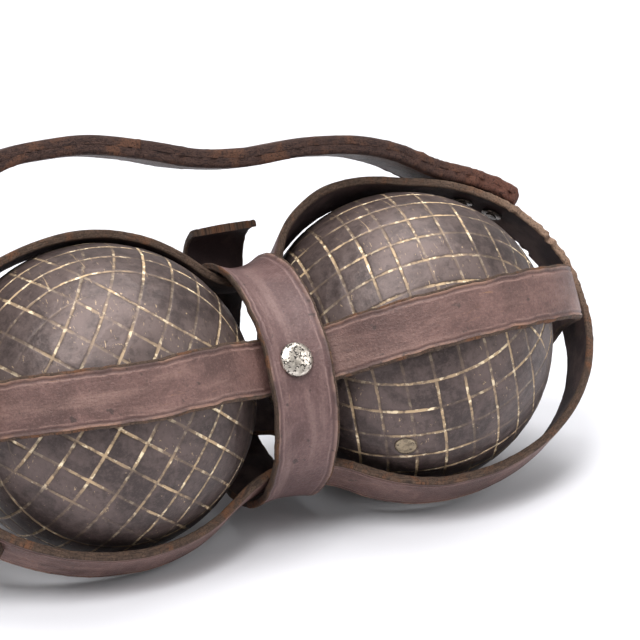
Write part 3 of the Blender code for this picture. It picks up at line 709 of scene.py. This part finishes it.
def near_tip(index, tip, side):
    """Adds stations close to a rounded tip, on the side where the strap lies."""
    extra = tip + side * TIP_ROUNDING / ROUTE_STEP * TIP_SHARES
    return np.unique(np.round(np.r_[index, extra], 3))


def lapped_loop(name, route, tip, lap, seed, torn_at, tilt_size):
    """A strap that goes once round its route and laps over its own other end."""
    total = len(route.points)
    side = 1 if lap > 0 else -1
    start, end = (tip, tip + total + lap) if lap > 0 else (tip + lap, tip + total)
    outer = start if lap > 0 else end
    index = near_tip(stations(start, end), outer, side)
    rise = np.clip((abs(lap) + LAP_RAMP - np.abs(index - outer)) / LAP_RAMP, 0, 1)
    points, across, normal = route.rows(index)
    lift = (STRAP_THICK + GAP) * eased(rise)
    points = points + lift[:, None] * normal
    widths = tip_widths(index * ROUTE_STEP, outer * ROUTE_STEP, STRAP_WIDTH)
    torn = tornness(points, torn_at)
    x = points[:, 0] - AXIS[0]
    over = (points[:, 2] > AXIS[2]) * (tilt_size > 0)
    tilt = np.interp(x, *zip(*TILT_ALONG_X)) * over * tilt_size
    tilt = smooth(tilt[:, None], EDGE_SPREAD, False)[:, 0]
    hug = np.interp(np.abs(x), *zip(*HUG_ALONG_X)) * over * HUG_SIZE
    hug = smooth(hug[:, None], EDGE_SPREAD, False)[:, 0]
    rows = (points, across, normal)
    return strip(name, rows, widths, STRAP_THICK, CAGE_LOOKS, seed, tilt=tilt, hug=hug, torn=torn)


def make_cage():
    horizontal_tip = route_index(HORIZONTAL, LAP_TIP_X, *HORIZONTAL_LAP_PLACE)
    vertical_tip = route_index(VERTICAL, LAP_TIP_X, *VERTICAL_LAP_PLACE)
    shoulder = AXIS + (SHOULDER_X, 0, 0) + SHOULDER_DISTANCE * outward(TOP_ANGLE)
    nowhere = AXIS + (0, 0, 1.0)
    for name, route, tip, lap, seed, torn_at, tilt in (
        ("horizontal_strap", HORIZONTAL, horizontal_tip, -LAP, 11, nowhere, 0.0),
        ("vertical_strap", VERTICAL, vertical_tip, LAP, 31, shoulder, TILT_SIZE),
    ):
        piece = lapped_loop(name, route, tip, lap, seed, torn_at, tilt)
        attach(piece, "cage")
        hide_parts("cage_strap_" + name.split("_")[0])


# --- Waist band and its tail ----------------------------------------------------------------------

BAND_CENTRE = AXIS + BAND_SHIFT
BAND_MIDDLE = (BAND_LEFT + BAND_RIGHT) / 2
BAND_WIDTH = BAND_RIGHT - BAND_LEFT
TAIL_ROOT = BAND_CENTRE + (BAND_INNER + 1.5 * BAND_THICK + GAP) * outward(BAND_OUTER_END)


def band_flare(angle):
    return BAND_FLARE + BAND_FLARE_TOP * np.cos(np.radians(angle - BAND_FLARE_ANGLE))


def make_band():
    angle = np.linspace(BAND_INNER_END, BAND_OUTER_END, BAND_STATIONS)
    rise = np.clip((angle - BAND_LAP_RISE[0]) / (BAND_LAP_RISE[1] - BAND_LAP_RISE[0]), 0, 1)
    radius = BAND_INNER + BAND_THICK / 2 + (BAND_THICK + GAP) * eased(rise)
    normal = outward(angle)
    points = BAND_CENTRE + (BAND_MIDDLE, 0, 0) + radius[:, None] * normal
    across = np.tile([1.0, 0, 0], (len(angle), 1))
    rows = (points, across, normal)
    band = strip("band", rows, BAND_WIDTH, BAND_THICK, BAND_LOOKS, 51, band_flare(angle))
    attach(band, "cage")
    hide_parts("waist_band")


def make_tail():
    at = np.linspace(0, TAIL_LENGTH + TAIL_GAP, TAIL_STATIONS)
    heading = np.interp(at - TAIL_GAP, *zip(*TAIL_HEADING))
    heading = smooth(heading[:, None], TAIL_SPREAD, False)[:, 0]
    turn = np.radians(heading)
    ahead = np.stack([0 * turn, np.cos(turn), np.sin(turn)], -1)
    points = TAIL_ROOT + np.cumsum(ahead, 0) * at[1] - ahead[0] * at[1]
    share = at / at[-1]
    points[:, 0] += BAND_MIDDLE + TAIL_SIDE_DRIFT * share
    normal = np.stack([0 * turn, np.sin(turn), -np.cos(turn)], -1)
    across = np.tile([1.0, 0, 0], (len(at), 1))
    flare = band_flare(BAND_OUTER_END) * (1 - share)
    tail = strip("tail", (points, across, normal), BAND_WIDTH, BAND_THICK, BAND_LOOKS, 71, flare)
    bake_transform(tail)
    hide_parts("band_tail")


# --- Handle ---------------------------------------------------------------------------------------

HANDLE_OFFSET = STRAP_THICK / 2 + 3 * GAP + HANDLE_PLY


def on_vertical(first, last):
    """Points and width directions outside the vertical strap, run from first down to last."""
    points, across, normal = VERTICAL.rows(np.arange(first, last - 1, -1.0))
    return np.hstack([points + HANDLE_OFFSET * normal, -across])


def handle_route():
    """The middle line between the handle's two plies, from its right tip to its left one."""
    free = np.array([AXIS + (x, 0, 0) + far * outward(angle) for x, far, angle in HANDLE_ROUTE])
    across = np.cross([-1, 0, 0], outward([point[2] for point in HANDLE_ROUTE]))
    right_tip = route_index(VERTICAL, *HANDLE_RIGHT_TIP, TOP_ANGLE)
    right_leaves = route_index(VERTICAL, *HANDLE_RIGHT_LEAVES, TOP_ANGLE)
    pole_x = -HALF_SPACING - VERTICAL_ENDS[0]
    left_lands = route_index(VERTICAL, pole_x, HANDLE_LEFT_LANDS, TOP_ANGLE)
    left_tip = route_index(VERTICAL, pole_x, HANDLE_LEFT_TIP, HANDLE_LEFT_TIP_ANGLE)
    left_tip -= len(VERTICAL.points) if left_tip > left_lands else 0
    parts = (
        on_vertical(right_tip, right_leaves),
        np.hstack([free, across]),
        on_vertical(left_lands, left_tip),
    )
    rows = smooth(resample(np.vstack(parts), ROUTE_STEP, False), HANDLE_SPREAD, False)
    return Route(rows[:, :3], rows[:, 3:], False)


def make_handle():
    """Each ply in two halves that meet in the middle, each over one attachment."""
    route = handle_route()
    last = len(route.points) - 1
    split = int(np.argmax(route.points[:, 0] < AXIS[0] + HANDLE_SPLIT_X))
    torn_at = route.points[2]
    for layer, side in (("outer", 1), ("inner", -1)):
        for end, first, final, tip, bend, seed in (
            ("right", 0, split, 0, RIGHT_BEND, 91),
            ("left", split, last, last, LEFT_BEND, 111),
        ):
            index = near_tip(stations(first, final), tip, 1 if tip == first else -1)
            points, across, normal = route.rows(np.clip(index, 0, last - LAST_ROW_MARGIN))
            widths = tip_widths(index * ROUTE_STEP, tip * ROUTE_STEP, HANDLE_WIDTH)
            torn = tornness(points, torn_at)
            from_tip = np.clip(1 - np.abs(index - tip) / SKIVE_LENGTH, 0, 1)
            depth = (HANDLE_PLY + PLY_GAP / 2) * np.sqrt(np.clip(1 - from_tip**2, SKIVE_LEAST**2, 1))
            offset = (1 + side / 2) * depth - (HANDLE_PLY + PLY_GAP / 2)
            middle = points + offset[:, None] * normal
            rows = (middle, side * across, side * normal)
            name = f"handle_{layer}_{end}"
            piece = strip(
                name,
                rows,
                widths,
                depth - PLY_SEAM,
                HANDLE_LOOKS,
                seed,
                base=HANDLE_ROUGHNESS,
                torn=torn,
                corners=HANDLE_CORNERS,
                edge_seeds=(0, 1) if side > 0 else (1, 0),
            )
            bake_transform(piece)
            ply = f"handle_{layer}_ply"
            nodes = [f"{ply}_{end}_end"] + ([ply] if end == "right" else [])
            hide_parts(*nodes)


# --- Boules ---------------------------------------------------------------------------------------


def plug_direction(side):
    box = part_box(side + "_boule_plug")
    centre = LEFT_BALL if side == "left" else RIGHT_BALL
    away = np.array((box[0] + box[1]) / 2) - centre
    return away / np.linalg.norm(away)


def make_ball(side, centre, seed):
    """A ball scored by circles, with a shallow dish round its plug."""
    polar = np.linspace(0, math.pi, BALL_RINGS + 1)[1:-1]
    round_ = np.arange(BALL_SEGMENTS) * 2 * math.pi / BALL_SEGMENTS
    rings = np.stack(
        [
            np.repeat(np.cos(polar), BALL_SEGMENTS),
            (np.sin(polar)[:, None] * np.cos(round_)[None, :]).ravel(),
            (np.sin(polar)[:, None] * np.sin(round_)[None, :]).ravel(),
        ],
        -1,
    )
    ways = np.vstack([rings, [[1, 0, 0], [-1, 0, 0]]])
    turn, offsets = SCORING[side + "_boule"]
    axes = np.array(Euler([math.radians(a) for a in turn], "XYZ").to_matrix())
    latitude = np.degrees(np.arcsin(np.clip(ways @ axes, -1, 1)))
    score, wear = np.zeros_like(latitude), np.zeros_like(latitude)
    depth = np.zeros(len(ways))
    for family in range(3):
        wander = SCORE_WANDER * ripple(seed + family, ways, SCORE_WANDER_WAVES)
        counted = (latitude[:, family] + wander - offsets[family]) / SCORE_SPACING - 0.5
        clear = SCORE_CLEAR + SCORE_CLEAR_SPREAD * ripple(seed + 10 + family, ways, SCORE_WEAR_WAVES)
        reach = np.clip((SCORE_REACH - np.abs(latitude[:, family])) / SCORE_FADE, 0, 1)
        wear[:, family] = np.clip(clear, SCORE_CLEAR_LEAST, 1) * reach
        score[:, family] = counted
        away = np.abs(counted - np.round(counted)) * math.radians(SCORE_SPACING) * BALL_RADIUS
        cut = WORN_GROOVE + (1 - WORN_GROOVE) * wear[:, family]
        groove = np.exp(-((away / SCORE_HALF_WIDTH) ** 2)) * cut * (reach > 0)
        depth = np.maximum(depth, SCORE_DEPTH * groove)
    dents = DENT_DEPTH * ripple(seed + 20, ways, DENT_WAVES, DENT_COUNT)
    plug = plug_direction(side)
    from_plug = np.arccos(np.clip(ways @ plug, -1, 1)) * BALL_RADIUS
    dish = PLUG_DISH * np.clip((PLUG_RADIUS + PLUG_CLEARANCE - from_plug) / DISH_SLOPE, 0, 1)
    radius = BALL_RADIUS - depth - dish - np.abs(dents)
    count = len(rings)
    grid = np.arange(count).reshape(BALL_RINGS - 1, BALL_SEGMENTS)
    beside = np.roll(grid, -1, 1)
    quads = np.stack([grid[:-1], grid[1:], beside[1:], beside[:-1]], -1).reshape(-1, 4)
    caps = [(count, int(a), int(b)) for a, b in zip(grid[0], beside[0])]
    caps += [(count + 1, int(b), int(a)) for a, b in zip(grid[-1], beside[-1])]
    mesh = bpy.data.meshes.new(side + "_ball")
    mesh.from_pydata((ways * radius[:, None]).tolist(), [], quads.tolist() + caps)
    mesh.materials.append(BALL_LOOK)
    store(mesh, "score", score)
    store(mesh, "score_wear", wear)
    ball = add_piece(side + "_ball", mesh, centre)
    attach(ball, side + "_boule")
    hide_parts(side + "_boule")
    make_plug(side, centre, plug)


def make_plug(side, centre, way):
    """A filler plug, domed to the ball's curve and standing just under its surface."""
    top = BALL_RADIUS - PLUG_SINK
    cap = [(r, math.sqrt(top**2 - r**2)) for r in np.linspace(0, PLUG_RADIUS - PLUG_BEVEL, 9)]
    low = top - PLUG_HEIGHT
    rim = [(PLUG_RADIUS, cap[-1][1] - PLUG_BEVEL), (PLUG_RADIUS, low), (0, low)]
    plug = turned(side + "_plug", cap + rim, PLUG_LOOK, centre, way)
    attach(plug, side + "_boule")
    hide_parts(side + "_boule_plug")


# --- Rivets ---------------------------------------------------------------------------------------


def turned(name, profile, look, place, way, seed=None, dent=0.0):
    """A profile of (radius, height) points spun round an axis through a place.

    One that starts on the axis also ends there; any other is closed into a ring.
    """
    closed = profile[0][0] > 0
    turns = np.arange(TURNED_STEPS) * 2 * math.pi / TURNED_STEPS
    vertices, rows = [], []
    for radius, height in profile:
        if radius < 1e-9:
            rows.append([len(vertices)] * TURNED_STEPS)
            vertices.append((0, 0, height))
            continue
        rows.append(list(range(len(vertices), len(vertices) + TURNED_STEPS)))
        vertices += [(radius * math.cos(a), radius * math.sin(a), height) for a in turns]
    pairs = list(zip(rows, rows[1:])) + ([(rows[-1], rows[0])] if closed else [])
    faces = []
    for near, far in pairs:
        for k in range(TURNED_STEPS):
            after = (k + 1) % TURNED_STEPS
            corners = dict.fromkeys((near[k], far[k], far[after], near[after]))
            if len(corners) > 2:
                faces.append(tuple(corners))
    points = np.array(vertices, float)
    if dent:
        points[:, 2] -= dent * np.clip(ripple(seed, points[:, :2], RIVET_DENT_WAVES), 0, None)
    mesh = bpy.data.meshes.new(name)
    mesh.from_pydata(points.tolist(), [], faces)
    mesh.materials.append(look)
    piece = add_piece(name, mesh, place)
    piece.rotation_mode = "QUATERNION"
    piece.rotation_quaternion = Vector(way).to_track_quat("Z", "Y")
    return piece


def node_points(node):
    return np.array([v.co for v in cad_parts[node].data.vertices], float)


def make_rivet(name, seed, look):
    """A domed head on its shank, and the burr it is closed over, where the CAD nodes stand."""
    head, burr = node_points(name + "_rivet"), node_points(name + "_burr")
    middle = (burr.min(0) + burr.max(0)) / 2
    centre = burr.mean(0)
    far_side = head[np.argmax(np.linalg.norm(head - middle, axis=1))]
    rim = head[np.linalg.norm(head - centre, axis=1) > HEAD_SHARE * np.linalg.norm(far_side - centre)]
    way = rim.mean(0) - centre
    way /= np.linalg.norm(way)
    heights = (head - centre) @ way
    spread = np.linalg.norm((head - centre) - heights[:, None] * way, axis=1)
    radius, top, low = spread.max(), heights.max(), heights.min()
    seat = heights[spread > RIM_SHARE * radius].min()
    shank = np.percentile(spread[heights < seat - RIVET_ROUNDING], SHANK_PERCENTILE)
    dome = np.radians(DOME_ANGLES)
    rise = top - seat - RIVET_ROUNDING
    profile = [(radius * math.cos(a), seat + RIVET_ROUNDING + rise * math.sin(a)) for a in dome]
    profile[0] = (0, top)
    profile += [(radius, seat + RIVET_ROUNDING / 2), (radius - RIVET_ROUNDING, seat)]
    profile += [(shank, seat), (shank, low), (0, low)]
    rivet = turned(name + "_head", profile, look, centre, way, seed, RIVET_DENT)
    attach(rivet, "cage")
    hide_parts(name + "_rivet")
    across = np.linalg.norm((burr - centre) - ((burr - centre) @ way)[:, None] * way, axis=1)
    reach = ((burr - centre) @ way).max()
    outer, inner = across.max(), across.min()
    ring = [(outer - RIVET_ROUNDING, reach), (outer, reach - RIVET_ROUNDING)]
    ring += [(outer, -reach + RIVET_ROUNDING), (outer - RIVET_ROUNDING, -reach)]
    ring += [(inner, -reach), (inner, reach)]
    washer = turned(name + "_washer", ring, TARNISHED_LOOK, centre, way)
    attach(washer, "cage")
    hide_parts(name + "_burr")


# --- Studio ---------------------------------------------------------------------------------------

CAMERA_PLACE = (-0.2549, -0.6120, 0.3182)
CAMERA_TURN = (69.241, 1.403, -25.080)
CAMERA_LENS = 123.75
SENSOR_WIDTH, CLIP_START = 36.0, 0.01
FLOOR_SIZE, FLOOR_COLOUR = 8.0, (0.70, 0.70, 0.73, 1)
ROOM_BRIGHTNESS = 0.48
LAMP_AIM = (0, 0, 0.05)
LAMPS = (  # name, place, size, power
    ("key", (-0.6, -0.55, 1.5), 0.9, 27.0),
    ("top", (0.35, 0.25, 1.7), 1.1, 26.0),
    ("side", (1.1, -0.9, 0.8), 0.8, 7.0),
)


def make_studio():
    camera = bpy.data.objects.new("camera", bpy.data.cameras.new("camera"))
    camera.data.lens = CAMERA_LENS
    camera.data.sensor_width = SENSOR_WIDTH
    camera.data.clip_start = CLIP_START
    camera.location = CAMERA_PLACE
    camera.rotation_euler = [math.radians(a) for a in CAMERA_TURN]
    SCENE.collection.objects.link(camera)
    SCENE.camera = camera
    half = FLOOR_SIZE / 2
    mesh = bpy.data.meshes.new("floor")
    corners = [(-half, -half, 0), (half, -half, 0), (half, half, 0), (-half, half, 0)]
    mesh.from_pydata(corners, [], [(0, 1, 2, 3)])
    look = Look("floor", Roughness=0.6, Specular_IOR_Level=0.2)
    look.shader.inputs["Base Color"].default_value = FLOOR_COLOUR
    mesh.materials.append(look.material)
    floor = bpy.data.objects.new("floor", mesh)
    SCENE.collection.objects.link(floor)
    world = bpy.data.worlds.new("studio")
    world.use_nodes = True
    world.node_tree.nodes["Background"].inputs["Color"].default_value = (1, 1, 1, 1)
    world.node_tree.nodes["Background"].inputs["Strength"].default_value = ROOM_BRIGHTNESS
    SCENE.world = world
    for name, place, size, power in LAMPS:
        lamp = bpy.data.lights.new(name, "AREA")
        lamp.size = size
        lamp.energy = power
        holder = bpy.data.objects.new(name, lamp)
        holder.location = place
        aim = Vector(LAMP_AIM) - Vector(place)
        holder.rotation_euler = aim.to_track_quat("-Z", "Y").to_euler()
        SCENE.collection.objects.link(holder)
    SCENE.view_settings.view_transform = "Standard"


make_cage()
make_band()
make_tail()
make_handle()
make_ball("left", LEFT_BALL, 200)
make_ball("right", RIGHT_BALL, 300)
for number, rivet_name in enumerate(
    ("band_front", "band_back", "left_end", "right_end", "horizontal_lap", "vertical_lap")
    + ("handle_left", "handle_right_outer", "handle_right_inner")
):
    make_rivet(rivet_name, 400 + number, RIVET_LOOK if "band" in rivet_name else TARNISHED_LOOK)
make_studio()
